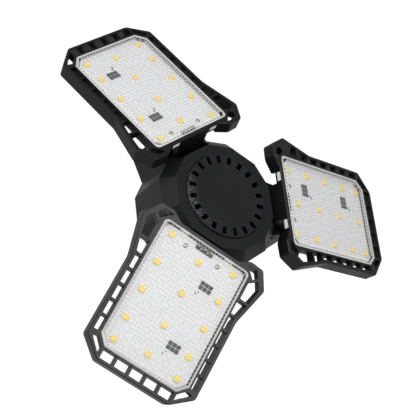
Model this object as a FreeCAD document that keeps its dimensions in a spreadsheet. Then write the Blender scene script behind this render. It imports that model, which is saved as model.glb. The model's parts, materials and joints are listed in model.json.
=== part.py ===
import FreeCAD, Part
import math
import os
import re
import Sketcher

"""Ceiling lamp with three tilting LED leaves on a twelve-sided hub.

Three frames are used. The hub frame has its origin at the centre of the hub's front, with +Z out of the
front. A leaf frame has its origin on its hinge axis, with +X outward along the leaf, +Y along the hinge
axis and +Z along the light. The finished lamp hangs by its screw cap: +Z up, with the origin on the axis
where the cap's shell starts.
"""

SIZES = [
    # leaf: lens and the tray that holds it
    ("lens_long", 100.0, "lens along the leaf"),
    ("lens_wide", 73.4, "lens across the leaf"),
    ("lens_cut_long", 7.1, "cut of the lens's outer corners, along"),
    ("lens_cut_wide", 6.9, "cut of the lens's outer corners, across"),
    ("lens_round", 3.5, "radius of the lens's inner corners"),
    ("lens_thick", 1.6, "thickness of the lens"),
    ("lens_gap", 0.15, "clearance round the lens"),
    ("lens_ledge", 1.2, "width of the ledge under the lens"),
    ("tray_wall", 1.5, "wall beside the lens"),
    ("tray_end", 3.0, "wall between the lens and the hub"),
    ("tray_deep", 6.0, "lens face to the tray's back"),
    ("tray_floor", 1.6, "thickness of the tray's floor"),
    ("tab_start", 15.6, "leaf's middle to a snap tab"),
    ("tab_wide", 7.6, "width of a snap tab's window"),
    ("tab_top", 1.2, "lens face to the window's top edge"),
    ("tab_tall", 3.8, "height of a snap tab's window"),
    ("tab_gap", 0.2, "clearance of a snap tab in its window"),
    # leaf: rim, ears and the open slots
    ("rim_side", 8.3, "lens's side to the rim's outside"),
    ("rim_reach", 10.5, "rim beyond the lens's outer end"),
    ("rim_deep", 10.0, "height of the rim's wall"),
    ("rim_wall", 2.5, "thickness of the rim's wall"),
    ("rim_cut_long", 12.5, "cut of the rim's outer corners, along"),
    ("rim_cut_wide", 15.5, "cut of the rim's outer corners, across"),
    ("rim_corner", 1.0, "chamfer of the rim's upright edges"),
    ("rib_drop", 1.0, "rim's front to the ribs between the slots"),
    ("rim_edge", 0.5, "chamfer of the rim's front edge"),
    ("ear_root", 36.0, "lens's inner edge to where the ears start"),
    ("ear_tip", 5.5, "lens's inner edge to the ear tip"),
    ("ear_reach", 8.0, "rim's side to the ear's tip"),
    ("ear_back", 7.5, "shoulder of the ear, inboard of the lens"),
    ("ear_slant", 8.0, "ear's tip to its shoulder, across the leaf"),
    ("ear_heel", 8.0, "heel of the ear, inboard of the lens"),
    ("ear_heel_in", 11.0, "rim's side to the heel of the ear"),
    ("notch_gap", 1.7, "clearance between the hinge boss's root and the ears"),
    ("rib_wide", 1.9, "rib between two slots"),
    ("end_pitch", 12.0, "pitch of the slots in the outer end"),
    ("side_first", 31.8, "lens's inner edge to the five even side slots"),
    ("side_end", 7.2, "last side slot's end to the lens's outer edge"),
    ("back_rib", 1.6, "thickness of the ribs on the tray's back"),
    ("back_rib_tall", 2.4, "height of the ribs on the tray's back"),
    ("back_rib_pitch", 20.0, "pitch of the ribs on the tray's back"),
    # leaf: arm and hinge
    ("arm_rise", 26.0, "hinge axis to the lens face"),
    ("arm_set", 5.1, "lens's inner edge inboard of the hinge axis"),
    ("arm_wide", 29.8, "width of the hinge arm"),
    ("arm_thick", 15.6, "thickness of the hinge arm, and its barrel's diameter"),
    ("bolt_radius", 2.5, "radius of the hinge bolt"),
    ("bolt_fit", 0.05, "radial clearance on the hinge bolt"),
    ("bolt_reach", 19.3, "leaf's middle to the bolt's end"),
    ("head_radius", 4.5, "radius of the bolt's head"),
    ("head_tall", 2.3, "height of the bolt's head"),
    ("head_seat", 19.0, "leaf's middle to the seat of the bolt's head"),
    ("head_gap", 0.25, "clearance round the bolt's head"),
    ("socket_wide", 4.0, "hexagon socket across its flats"),
    ("socket_deep", 1.4, "depth of the hexagon socket"),
    ("washer_thick", 0.9, "thickness of a friction washer"),
    ("washer_half", 6.6, "bolt's axis to the flats of an eight-sided friction washer"),
    ("washer_gap", 0.05, "clearance on each side of a washer"),
    # leaf: board and what is on it
    ("board_thick", 1.2, "thickness of the LED board"),
    ("board_gap", 0.5, "clearance round the LED board"),
    ("led_long", 3.5, "LED chip along"),
    ("led_wide", 2.8, "LED chip across"),
    ("led_tall", 0.7, "LED chip's height"),
    ("led_edge", 10.2, "lens's side to the side rows of LEDs"),
    ("led_side_first", 7.5, "lens's inner edge to the side rows' first LED"),
    ("led_side_gap", 17.3, "pitch of the side rows' last two LEDs"),
    ("led_side_end", 8.0, "side rows' last LED to the lens's outer edge"),
    ("led_mid_first", 14.0, "lens's inner edge to the middle row's first LED"),
    ("led_mid_gap", 23.1, "pitch of the middle row's last two LEDs"),
    ("led_mid_end", 11.9, "middle row's last LED to the lens's outer edge"),
    ("driver_first", 26.2, "lens's inner edge to the first driver array"),
    ("driver_end", 25.6, "second driver array to the lens's outer edge"),
    ("driver_side", 13.8, "leaf's middle to the driver arrays"),
    ("driver_pitch", 3.4, "pitch of the packages in an array"),
    ("driver_chip", 2.6, "side of a driver package"),
    ("driver_tall", 0.9, "height of a driver package"),
    ("rectifier_long", 14.0, "rectifier across the leaf"),
    ("rectifier_wide", 4.4, "rectifier along the leaf"),
    ("rectifier_tall", 0.9, "height of the rectifier"),
    ("rectifier_place", 3.7, "lens's inner edge to the rectifier"),
    ("pad_wide", 3.6, "side of a soldered lead end"),
    ("pad_tall", 0.9, "height of a soldered lead end"),
    ("pad_place", 8.6, "lens's inner edge to the soldered lead ends"),
    ("pad_side", 14.0, "leaf's middle to the soldered lead ends"),
    # hub housing
    ("hub_apothem", 49.0, "axis to the hub's flats"),
    ("bevel_wide", 8.0, "width of the front bevel"),
    ("bevel_deep", 11.5, "front to the bevel's outer edge"),
    ("face_drop", 1.8, "front disc's face to the face round it"),
    ("hub_deep", 47.5, "front to the rear cover"),
    ("hub_wall", 2.5, "wall of the hub housing"),
    ("boss_root_half", 22.9, "half width of a hinge boss at its root"),
    ("boss_long", 15.0, "hub's flats to the hinge bosses' outer faces"),
    ("boss_reach_half", 18.0, "half width of a hinge boss at its outer face"),
    ("boss_drop", 12.5, "front to the hinge boss's front face"),
    ("boss_edge", 0.8, "chamfer of the hinge boss's front edges"),
    ("hinge_set", 0.5, "hinge axis to the hub's flats"),
    ("hinge_drop", 20.0, "front to the hinge axis"),
    ("slot_gap", 0.3, "clearance between the arm and its slot's inner wall"),
    ("floor_gap", 0.5, "clearance between the arm's barrel and its slot's floor"),
    ("cavity_drop", 14.0, "front to where the wide cavity starts"),
    ("throat_step", 2.4, "step between the wide cavity and the one behind the front face"),
    ("post_edge", 7.0, "rear screws to the hub's flats"),
    ("post_half", 4.0, "half width of a rear screw's post"),
    # front disc
    ("disc_radius", 33.0, "radius of the front disc"),
    ("disc_thick", 2.4, "thickness of the front disc"),
    ("disc_gap", 0.2, "clearance round the front disc"),
    ("disc_edge", 0.7, "chamfer of the front disc's edge"),
    ("disc_ledge", 0.9, "width of the ledge under the front disc"),
    ("vent_edge", 1.3, "vent slots' outer end to the disc's edge"),
    ("vent_long", 5.8, "length of a vent slot"),
    ("vent_wide", 3.4, "width of a vent slot"),
    ("vent_count", 20.0, "number of vent slots"),
    ("peg_wide", 3.2, "width of the disc's pegs"),
    ("peg_place", 21.0, "axis to the pegs and the board's posts"),
    # junction board and what is on it
    ("junction_apothem", 28.5, "axis to the junction board's flats"),
    ("junction_thick", 1.6, "thickness of the junction board"),
    ("junction_drop", 16.0, "front to the junction board"),
    ("plug_long", 12.0, "plug block across"),
    ("plug_wide", 6.0, "plug block along the radius"),
    ("plug_tall", 7.0, "height of a plug block"),
    ("plug_place", 20.0, "axis to a plug block"),
    # rear cover
    ("cover_thick", 2.5, "thickness of the rear plate"),
    ("neck_gap", 1.1, "clearance between the rear screws' heads and the neck's foot"),
    ("neck_narrow", 17.0, "axis to the flats of the neck's top"),
    ("neck_top", 72.0, "front to the neck's top"),
    ("collar_half", 15.4, "axis to the flats of the collar under the cap"),
    ("neck_wall", 2.4, "wall of the neck"),
    ("cap_drop", 78.0, "front to where the cap's shell starts"),
    ("stand_wide", 5.2, "width of the board's posts"),
    ("fin_count", 12.0, "number of ribs on the neck"),
    ("fin_thick", 1.8, "thickness of a rib on the neck"),
    ("fin_rise", 1.5, "height of a rib over the neck's top"),
    ("collar_gap", 0.2, "step of the collar's opening inside the cap"),
    ("screw_radius", 1.5, "radius of a rear screw"),
    ("screw_head", 2.9, "radius of a rear screw's head"),
    ("screw_head_tall", 2.0, "height of a rear screw's head"),
    ("screw_long", 12.0, "length of a rear screw's shank"),
    ("screw_gap", 0.3, "clearance round a rear screw in the cover"),
    # screw cap
    ("cap_radius", 13.1, "crest radius of the screw cap"),
    ("cap_wall", 0.7, "wall of the screw cap, thread's depth included"),
    ("cap_tall", 21.0, "length of the cap's shell"),
    ("cap_shoulder", 3.0, "height of the cap's rounded end"),
    ("insulator_radius", 9.6, "radius of the insulator's foot"),
    ("contact_radius", 4.8, "radius of the end contact"),
    ("contact_tall", 1.8, "height of the end contact"),
    ("insulator_tall", 1.4, "insulator beyond the shell"),
    ("lead_radius", 1.0, "radius of a lead's sleeve"),
    ("lead_gap", 0.1, "clearance round the lead in the insulator"),
]

LEAVES = [
    ("leaf_1", "hinge_1", -90.0, 16.6),
    ("leaf_2", "hinge_2", 150.0, 19.7),
    ("leaf_3", "hinge_3", 30.0, 14.5),
]
LEAF_TURN = 120.0
CORNER = 30.0

doc = FreeCAD.newDocument("garage_light")
sheet = doc.addObject("Spreadsheet::Sheet", "sheet")
for row, (alias, value, note) in enumerate(SIZES, start=1):
    sheet.set(f"A{row}", note)
    sheet.set(f"B{row}", str(value))
    sheet.setAlias(f"B{row}", alias)
doc.recompute()
ALIASES = {alias for alias, value, note in SIZES}


def bind(text):
    """A formula in size names, as an expression on the sheet's cells."""
    def on_sheet(word):
        return f"sheet.{word[0]}" if word[0] in ALIASES else word[0]

    return re.sub(r"[a-z][a-z_0-9]*", on_sheet, text)


def size(text):
    """The number that a formula in size names gives."""
    result = sheet.evalExpression(bind(text))
    return float(getattr(result, "Value", result))


RIM_HALF = "(lens_wide / 2 + rim_side)"
EAR_HALF = f"({RIM_HALF} + ear_reach)"
EAR_SHOULDER = f"({EAR_HALF} - ear_slant)"
HEEL_HALF = f"({RIM_HALF} - ear_heel_in)"
NOTCH_HALF = "(boss_root_half + notch_gap)"
HINGE_OUT = "(hub_apothem - hinge_set)"
BOSS_ROOT = "((hub_apothem - boss_root_half * sin(30)) / cos(30))"
BOSS_REACH = "(hub_apothem + boss_long)"
SLOT_INNER = f"({HINGE_OUT} - arm_thick / 2 - slot_gap)"
POST_PLACE = "(hub_apothem - post_edge)"
NECK_WIDE = f"({POST_PLACE} - screw_head - neck_gap)"
VENT_OUTER = "(disc_radius - vent_edge)"


# ---------------------------------------------------------------- sketches and features


def new_body(label):
    body = doc.addObject("PartDesign::Body", label)
    body.Label = label
    return body


def origin_of(body, role):
    return next(feature for feature in body.Origin.OriginFeatures if feature.Role == role)


def new_sketch(body, height="0", role="XY_Plane"):
    sketch = body.newObject("Sketcher::SketchObject", "sketch")
    sketch.AttachmentSupport = [(origin_of(body, role), "")]
    sketch.MapMode = "FlatFace"
    sketch.setExpression("AttachmentOffset.Base.z", bind(height))
    return sketch


def hold(sketch, kind, geometry, point, text):
    """Holds one coordinate of a point to a formula."""
    index = sketch.addConstraint(Sketcher.Constraint(kind, -1, 1, geometry, point, size(text)))
    sketch.setExpression(f"Constraints[{index}]", bind(text))


def add_polygon(sketch, points):
    """A closed outline whose corners are pairs of formulas."""
    first = sketch.GeometryCount
    places = [FreeCAD.Vector(size(x), size(y), 0) for x, y in points]
    count = len(places)
    for i in range(count):
        sketch.addGeometry(Part.LineSegment(places[i], places[(i + 1) % count]))
    for i in range(count):
        sketch.addConstraint(Sketcher.Constraint("Coincident", first + i, 2, first + (i + 1) % count, 1))
    for i, (x, y) in enumerate(points):
        hold(sketch, "DistanceX", first + i, 1, x)
        hold(sketch, "DistanceY", first + i, 1, y)


def add_circle(sketch, x, y, radius):
    centre = FreeCAD.Vector(size(x), size(y), 0)
    circle = sketch.addGeometry(Part.Circle(centre, FreeCAD.Vector(0, 0, 1), size(radius)))
    hold(sketch, "DistanceX", circle, 3, x)
    hold(sketch, "DistanceY", circle, 3, y)
    index = sketch.addConstraint(Sketcher.Constraint("Radius", circle, size(radius)))
    sketch.setExpression(f"Constraints[{index}]", bind(radius))


def rectangle(x_low, x_high, y_low, y_high):
    return [(x_low, y_low), (x_high, y_low), (x_high, y_high), (x_low, y_high)]


def octagon(x, y, half):
    """An eight-sided outline about a centre, from the distance to its flats."""
    turns = [45 * n + 22.5 for n in range(8)]
    corner = f"({half}) / cos(22.5)"
    return [(f"{x} + {corner} * cos({turn})", f"{y} + {corner} * sin({turn})") for turn in turns]


def mirrored(points):
    return [(x, f"-({y})") for x, y in reversed(points)]


def feature_of(body, kind, sketch, length, reverse=False):
    """A pad or a pocket. A pad goes along its sketch's normal and a pocket against it, unless reversed."""
    feature = body.newObject(f"PartDesign::{kind}", kind.lower())
    feature.Profile = sketch
    feature.setExpression("Length", bind(length))
    feature.Reversed = reverse
    sketch.Visibility = False
    return feature


def pad(body, outlines, height, length, role="XY_Plane", reverse=False):
    sketch = new_sketch(body, height, role)
    for outline in outlines:
        add_polygon(sketch, outline)
    return feature_of(body, "Pad", sketch, length, reverse)


def pocket(body, outlines, height, length, role="XY_Plane", reverse=False):
    sketch = new_sketch(body, height, role)
    for outline in outlines:
        add_polygon(sketch, outline)
    return feature_of(body, "Pocket", sketch, length, reverse)


def round_feature(body, kind, circles, height, length, role="XY_Plane", reverse=False):
    """A pad or a pocket of circles, each given as centre x, centre y and radius."""
    sketch = new_sketch(body, height, role)
    for x, y, radius in circles:
        add_circle(sketch, x, y, radius)
    return feature_of(body, kind, sketch, length, reverse)


def around(body, features, count):
    """Repeats features evenly about the body's Z axis."""
    pattern = body.newObject("PartDesign::PolarPattern", "ring")
    pattern.Originals = features
    pattern.Axis = (origin_of(body, "Z_Axis"), [""])
    pattern.Angle = 360
    pattern.setExpression("Occurrences", bind(count))
    body.Tip = pattern
    return pattern


def along(body, features, role, step, count):
    """Repeats features in a row along one of the body's axes."""
    pattern = body.newObject("PartDesign::LinearPattern", "row")
    pattern.Originals = features
    pattern.Direction = (origin_of(body, role), [""])
    pattern.setExpression("Length", bind(f"({step}) * {count - 1}"))
    pattern.Occurrences = count
    body.Tip = pattern
    return pattern


def revolve(body, points):
    """A turned piece: its half section is given as pairs of radius and height."""
    sketch = new_sketch(body, "0", "XZ_Plane")
    add_polygon(sketch, points)
    turned = body.newObject("PartDesign::Revolution", "turned")
    turned.Profile = sketch
    turned.ReferenceAxis = (origin_of(body, "Z_Axis"), [""])
    turned.Angle = 360
    sketch.Visibility = False
    return turned


def edges_where(feature, test):
    """Names of a feature's edges whose two ends and middle pass a test."""
    doc.recompute()
    names = []
    for number, edge in enumerate(feature.Shape.Edges, start=1):
        middle = edge.valueAt((edge.FirstParameter + edge.LastParameter) / 2)
        if test(edge, middle):
            names.append(f"Edge{number}")
    return names


def dress(body, feature, kind, names, amount):
    """A fillet or a chamfer on named edges of a feature."""
    dressed = body.newObject(f"PartDesign::{kind}", kind.lower())
    dressed.Base = (feature, names)
    dressed.setExpression("Radius" if kind == "Fillet" else "Size", bind(amount))
    body.Tip = dressed
    return dressed


def is_upright(edge):
    ends = [vertex.Point for vertex in edge.Vertexes]
    return len(ends) == 2 and math.hypot(ends[0].x - ends[1].x, ends[0].y - ends[1].y) < 1e-6


# ---------------------------------------------------------------- one leaf, in its own frame


def out(text):
    """A place along the leaf, from a distance outward of the lens's inner edge."""
    return f"({text}) - arm_set"


LENS_OUTLINE = [
    ("0", "lens_wide / 2"),
    ("lens_long - lens_cut_long", "lens_wide / 2"),
    ("lens_long", "lens_wide / 2 - lens_cut_wide"),
]
RIM_OUTLINE = [
    ("-tray_end", NOTCH_HALF),
    ("-ear_heel", HEEL_HALF),
    ("-ear_back", EAR_SHOULDER),
    ("ear_tip", EAR_HALF),
    ("ear_root", RIM_HALF),
    ("lens_long + rim_reach - rim_cut_long", RIM_HALF),
    ("lens_long + rim_reach", f"{RIM_HALF} - rim_cut_wide"),
]
SIDE_PITCH = "((lens_long - side_end - side_first) / 5)"
SIDE_SLOT = f"({SIDE_PITCH} - rib_wide)"
SIDE_IN = "(lens_wide / 2 + tray_wall)"
END_HALF = "(2.5 * end_pitch - rib_wide / 2)"


def whole(half):
    """Both halves of an outline that is the same on each side of the leaf's middle."""
    points = [(out(x), y) for x, y in half]
    return points + mirrored(points)


def grown_lens(amount):
    """The lens's outline, larger or smaller all round."""
    corner = f"({amount}) * 0.42"
    return whole([
        (f"-({amount})", f"lens_wide / 2 + ({amount})"),
        (f"lens_long - lens_cut_long + {corner}", f"lens_wide / 2 + ({amount})"),
        (f"lens_long + ({amount})", f"lens_wide / 2 - lens_cut_wide + {corner}"),
    ])


def ear_edge(x):
    """Half width of the ear's long outer edge at a place along the leaf."""
    return f"({EAR_HALF} - (({x}) - ear_tip) * ear_reach / (ear_root - ear_tip))"


def inner_corners(edge, middle):
    """The two upright edges of the lens, or of its seat, next to the hub."""
    return is_upright(edge) and middle.x < size("3 - arm_set") and abs(middle.y) > size("lens_wide / 2 - 3")


def slots_through(body):
    """The open slots between the tray and the rim, with ribs that lie a little below the rim's front."""
    deep = "rim_deep + 1"
    top = "arm_rise + 1"
    last = "lens_long - side_end"
    rim_inside = f"{RIM_HALF} - rim_wall"
    sixth_start = f"(side_first - {SIDE_SLOT})"
    end_ribs = rectangle(
        out("lens_long + tray_wall"), out("lens_long + rim_reach - rim_wall"), f"-{END_HALF}", END_HALF
    )
    side_ribs = rectangle(out("side_first"), out(last), SIDE_IN, rim_inside)
    pocket(body, [end_ribs, side_ribs, mirrored(side_ribs)], top, "rib_drop + 1")
    end = rectangle(
        out("lens_long + tray_wall"), out("lens_long + rim_reach - rim_wall"),
        "2 * end_pitch - (end_pitch - rib_wide) / 2", "2 * end_pitch + (end_pitch - rib_wide) / 2",
    )
    first_end = pocket(body, [end], top, deep)
    row = along(body, [first_end], "Y_Axis", "end_pitch", 5)
    row.Reversed = True
    side = rectangle(out(f"{last} - {SIDE_SLOT}"), out(last), SIDE_IN, rim_inside)
    first_side = pocket(body, [side, mirrored(side)], top, deep)
    row = along(body, [first_side], "X_Axis", SIDE_PITCH, 5)
    row.Reversed = True
    slant = "rim_wall * 1.04"
    sixth = [
        (out(sixth_start), SIDE_IN),
        (out("side_first"), SIDE_IN),
        (out("side_first"), f"{ear_edge('side_first')} - {slant}"),
        (out(sixth_start), f"{ear_edge(sixth_start)} - {slant}"),
    ]
    ear_end = f"{sixth_start} - rib_wide"
    ear = [
        (out("ear_tip + 1"), f"{SIDE_IN} + 1"),
        (out(ear_end), f"{SIDE_IN} + 1"),
        (out(ear_end), f"{ear_edge(ear_end)} - {slant}"),
        (out("ear_tip + 1.4"), f"{ear_edge('ear_tip + 1.4')} - rim_wall * 1.5"),
        (out("ear_tip - 3.7"), f"{EAR_SHOULDER} + 0.4"),
    ]
    heel = [
        (out("rim_wall + 0.9 - ear_heel"), f"{HEEL_HALF} - 1.2"),
        (out("3"), f"{SIDE_IN} + 2.6"),
        (out("0"), f"{EAR_SHOULDER} - 1"),
        (out("rim_wall - ear_back"), f"{EAR_SHOULDER} - rim_wall * 1.8"),
    ]
    corner = [
        (out("lens_long + tray_wall"), f"{END_HALF} + rib_wide"),
        (out("lens_long + rim_reach - rim_wall * 1.4"), f"{END_HALF} + rib_wide"),
        (out("lens_long - lens_cut_long + rib_wide * 2"), f"{RIM_HALF} - rim_wall * 1.4"),
        (out("lens_long - lens_cut_long + rib_wide * 1.5"), "lens_wide / 2"),
    ]
    shapes = [sixth, ear, heel, corner]
    return pocket(body, shapes + [mirrored(shape) for shape in shapes], top, deep)


def leaf_housing(label):
    """Tray, perforated rim, ears, hinge arm and barrel: one moulding."""
    body = new_body(label)
    plate = pad(body, [whole(RIM_OUTLINE)], "arm_rise", "rim_deep", reverse=True)
    uprights = edges_where(plate, lambda edge, middle: is_upright(edge))
    cornered = dress(body, plate, "Chamfer", uprights, "rim_corner")
    top = size("arm_rise")
    front = edges_where(cornered, lambda edge, middle: abs(middle.z - top) < 1e-6)
    dress(body, cornered, "Chamfer", front, "rim_edge")
    back = [
        (out("-tray_end - 1"), NOTCH_HALF),
        (out("rim_wall - tray_end"), NOTCH_HALF),
        (out("rim_wall - ear_heel + 0.4"), f"{HEEL_HALF} + 0.6"),
        (out("rim_wall - ear_back"), f"{EAR_SHOULDER} - rim_wall * 0.6"),
        (out("ear_tip + 0.3"), f"{EAR_HALF} - rim_wall * 1.2"),
        (out("ear_root"), f"{RIM_HALF} - rim_wall"),
        (out("lens_long + rim_reach - rim_cut_long - rim_wall * 0.5"), f"{RIM_HALF} - rim_wall"),
        (out("lens_long + rim_reach - rim_wall"), f"{RIM_HALF} - rim_cut_wide - rim_wall * 0.5"),
    ]
    pocket(body, [back + mirrored(back)], "arm_rise - tray_deep", "rim_deep")
    ribs = pad(
        body,
        [rectangle(out("1"), out("lens_long"), "-back_rib / 2", "back_rib / 2")],
        "arm_rise - tray_deep - back_rib_tall", "back_rib_tall",
    )
    side_rib = pad(
        body,
        [rectangle(out("1"), out("lens_long"), f"{n} * back_rib_pitch - back_rib / 2",
                   f"{n} * back_rib_pitch + back_rib / 2") for n in (-1, 1)],
        "arm_rise - tray_deep - back_rib_tall", "back_rib_tall",
    )
    seat = pocket(body, [grown_lens("lens_gap")], "arm_rise + 1", "lens_thick + 1")
    under = top - size("lens_thick")
    corners = edges_where(seat, lambda edge, middle: inner_corners(edge, middle) and middle.z > under)
    dress(body, seat, "Fillet", corners, "lens_round + lens_gap")
    pocket(body, [grown_lens("-lens_ledge")], "arm_rise", "tray_deep - tray_floor")
    window = rectangle(out("-tray_end - 1"), out("lens_ledge + 0.6"), "tab_start", "tab_start + tab_wide")
    pocket(body, [window, mirrored(window)], "arm_rise - tab_top", "tab_tall")
    slots_through(body)
    arm = rectangle("-arm_thick / 2", "arm_thick / 2", "-arm_wide / 2", "arm_wide / 2")
    pad(body, [arm], "0", "arm_rise - tray_deep + 0.4")
    round_feature(body, "Pad", [("0", "0", "arm_thick / 2")], "-arm_wide / 2", "arm_wide", "XZ_Plane")
    bore = [("0", "0", "bolt_radius + bolt_fit")]
    round_feature(body, "Pocket", bore, "arm_wide / 2 + 1", "arm_wide + 2", "XZ_Plane")
    return body


def leaf_lens(label):
    """Clear sheet with two snap tabs that show through the inner end wall."""
    body = new_body(label)
    plate = pad(body, [whole(LENS_OUTLINE)], "arm_rise", "lens_thick", reverse=True)
    corners = edges_where(plate, inner_corners)
    dress(body, plate, "Fillet", corners, "lens_round")
    tab = rectangle(
        out("tab_gap - tray_end"), out("lens_ledge + 0.4"),
        "tab_start + tab_gap", "tab_start + tab_wide - tab_gap",
    )
    pad(body, [tab, mirrored(tab)], "arm_rise - tab_top - tab_gap", "tab_tall - 2 * tab_gap", reverse=True)
    return body


def leaf_board(label):
    body = new_body(label)
    pad(body, [grown_lens("-lens_ledge - board_gap")], "arm_rise - tray_deep + tray_floor", "board_thick")
    return body


BOARD_TOP = "arm_rise - tray_deep + tray_floor + board_thick"


def block(x, y, long, wide):
    """A rectangle about a centre, along and across the leaf."""
    return rectangle(
        out(f"{x} - {long} / 2"), out(f"{x} + {long} / 2"), f"{y} - {wide} / 2", f"{y} + {wide} / 2"
    )


def leaf_leds(label):
    body = new_body(label)
    side_pitch = "(lens_long - led_side_first - led_side_gap - led_side_end) / 3"
    mid_pitch = "(lens_long - led_mid_first - led_mid_gap - led_mid_end) / 2"
    side = [f"led_side_first + {n} * {side_pitch}" for n in range(4)] + ["lens_long - led_side_end"]
    middle = [f"led_mid_first + {n} * {mid_pitch}" for n in range(3)] + ["lens_long - led_mid_end"]
    row = "(lens_wide / 2 - led_edge)"
    chips = [block(x, f"{sign}{row}", "led_long", "led_wide") for x in side for sign in ("", "-")]
    chips += [block(x, "0", "led_long", "led_wide") for x in middle]
    pad(body, chips, BOARD_TOP, "led_tall")
    return body


def leaf_drivers(label):
    """Two arrays of six small packages, two along the leaf and three across it."""
    body = new_body(label)
    arrays = ("driver_first", "lens_long - driver_end")
    places = [f"{place} + {n} * driver_pitch / 2" for place in arrays for n in (-1, 1)]
    rows = [f"driver_side + {m} * driver_pitch" for m in (-1, 0, 1)]
    chips = [block(place, row, "driver_chip", "driver_chip") for place in places for row in rows]
    pad(body, chips, BOARD_TOP, "driver_tall")
    return body


def leaf_rectifier(label):
    body = new_body(label)
    strip = block("rectifier_place", "0", "rectifier_wide", "rectifier_long")
    pad(body, [strip], BOARD_TOP, "rectifier_tall")
    return body


def leaf_pads(label):
    body = new_body(label)
    ends = [block("pad_place", f"{sign}pad_side", "pad_wide", "pad_wide") for sign in ("", "-")]
    pad(body, ends, BOARD_TOP, "pad_tall")
    return body


def hinge_bolt(label):
    """Socket-head bolt along the hinge axis, with its head on the leaf frame's -Y side."""
    body = new_body(label)
    shank = [("0", "0", "bolt_radius")]
    round_feature(body, "Pad", shank, "-bolt_reach", "bolt_reach + head_seat", "XZ_Plane")
    round_feature(body, "Pad", [("0", "0", "head_radius")], "head_seat", "head_tall", "XZ_Plane")
    across = "(socket_wide / 2 / cos(30))"
    hexagon = [(f"{across} * cos({60 * n})", f"{across} * sin({60 * n})") for n in range(6)]
    pocket(body, [hexagon], "head_seat + head_tall", "socket_deep", "XZ_Plane")
    return body


def hinge_washers(label):
    """One friction washer on each side of the arm."""
    body = new_body(label)
    start = "arm_wide / 2 + washer_gap"
    for offset, reverse in ((start, False), (f"-({start})", True)):
        outlines = [octagon("0", "0", "washer_half"), octagon("0", "0", "bolt_radius + bolt_fit")]
        pad(body, outlines, offset, "washer_thick", "XZ_Plane", reverse)
    return body


# ---------------------------------------------------------------- hub, in its own frame


def dodecagon(apothem):
    corner = f"(({apothem}) / cos(15))"
    return [(f"{corner} * cos({15 + CORNER * n})", f"{corner} * sin({15 + CORNER * n})") for n in range(12)]


def turned_point(radius, across, azimuth):
    """A place beside a leaf's azimuth, from its distances outward and across."""
    return (
        f"({radius}) * cos({azimuth}) - ({across}) * sin({azimuth})",
        f"({radius}) * sin({azimuth}) + ({across}) * cos({azimuth})",
    )


def cavity_outline():
    """Inside of the hub: near the flats between the leaves, and short of the arms' slots at the leaves."""
    near = f"{SLOT_INNER} - hub_wall"
    side = "boss_root_half - 2"
    far = "hub_apothem - hub_wall"
    points = []
    for leaf in range(3):
        azimuth = -90 + 120 * leaf
        points.append(turned_point(near, f"-({side})", azimuth))
        points.append(turned_point(near, side, azimuth))
        points.append(turned_point(far, "-hub_apothem * tan(15)", azimuth + 60))
        points.append(turned_point(far, "hub_apothem * tan(15)", azimuth + 60))
    return points


def hub_plan():
    """Outline of the hub with its three tapered hinge bosses."""
    points = []
    for leaf in range(3):
        azimuth = -90 + 120 * leaf
        points.append(turned_point(BOSS_ROOT, "-boss_root_half", azimuth))
        points.append(turned_point(BOSS_REACH, "-boss_reach_half", azimuth))
        points.append(turned_point(BOSS_REACH, "boss_reach_half", azimuth))
        points.append(turned_point(BOSS_ROOT, "boss_root_half", azimuth))
        points.append(turned_point("hub_apothem", "-hub_apothem * tan(15)", azimuth + 60))
        points.append(turned_point("hub_apothem", "hub_apothem * tan(15)", azimuth + 60))
    return points


def beside(x_low, x_high, out_low, out_high):
    """A rectangle at the first leaf's azimuth, from its distances across and outward."""
    return rectangle(x_low, x_high, f"-({out_high})", f"-({out_low})")


def square_post(wide):
    """Outline of a peg or post between two leaves, from its width."""
    return rectangle(f"-{wide} / 2", f"{wide} / 2", f"peg_place - {wide} / 2", f"peg_place + {wide} / 2")


def taper(body, block, foot, angle, down=False):
    """Slopes a block's upright faces inward, upward from its end face at one height, or downward."""
    doc.recompute()
    faces = {f"Face{number}": face for number, face in enumerate(block.Shape.Faces, start=1)}
    upright = [name for name, face in faces.items() if abs(face.normalAt(0, 0).z) < 0.5]
    level = size(foot)
    base = next(name for name, face in faces.items()
                if name not in upright and abs(face.CenterOfMass.z - level) < 1e-3)
    sloped = body.newObject("PartDesign::Draft", "taper")
    sloped.Base = (block, upright)
    sloped.NeutralPlane = (block, [base])
    sloped.Reversed = down
    sloped.setExpression("Angle", bind(angle))
    body.Tip = sloped
    return sloped


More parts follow.
